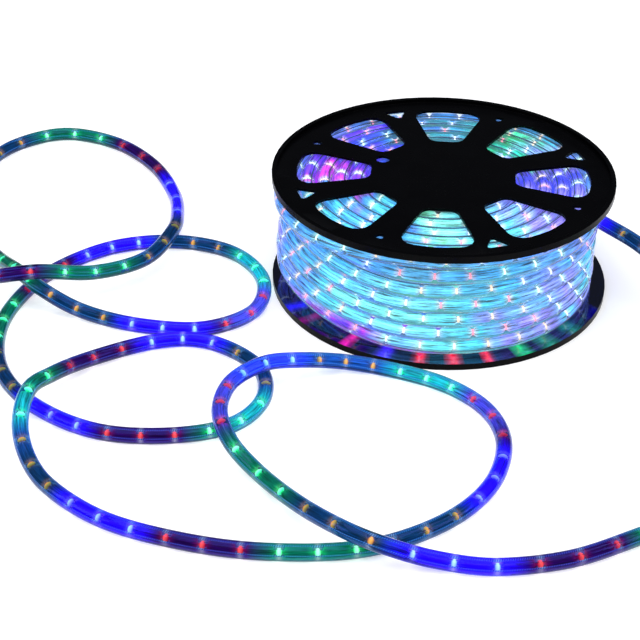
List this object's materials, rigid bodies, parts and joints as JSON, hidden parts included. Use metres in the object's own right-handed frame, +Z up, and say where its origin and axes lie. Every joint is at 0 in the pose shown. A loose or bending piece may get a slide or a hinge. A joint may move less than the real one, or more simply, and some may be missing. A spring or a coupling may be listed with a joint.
{
  "type": "led rope light on a reel",
  "caption": "Round clear rope light with coloured lamps, wound on a flat two-flange plastic reel, its loose length laid in loops.",
  "frame": {"origin": "centre of the reel's underside, on the surface it lies on", "axes": "+Z up along the reel's axis; -Y towards the loose loops in front; the loose end lies towards -X"},
  "size_m": [0.7502, 0.6679, 0.106],
  "materials": {
    "reel": "glossy black moulded plastic",
    "rope": "clear soft jacket lit from inside by blue, green, orange and red lamps",
    "cap": "clear moulded end cap"
  },
  "bodies": {
    "root": {"bottom_flange": "reel", "top_flange": "reel", "hub": "reel", "rope_winding": "rope", "rope_lead": "rope", "end_cap": "cap"}
  },
  "joints": []
}
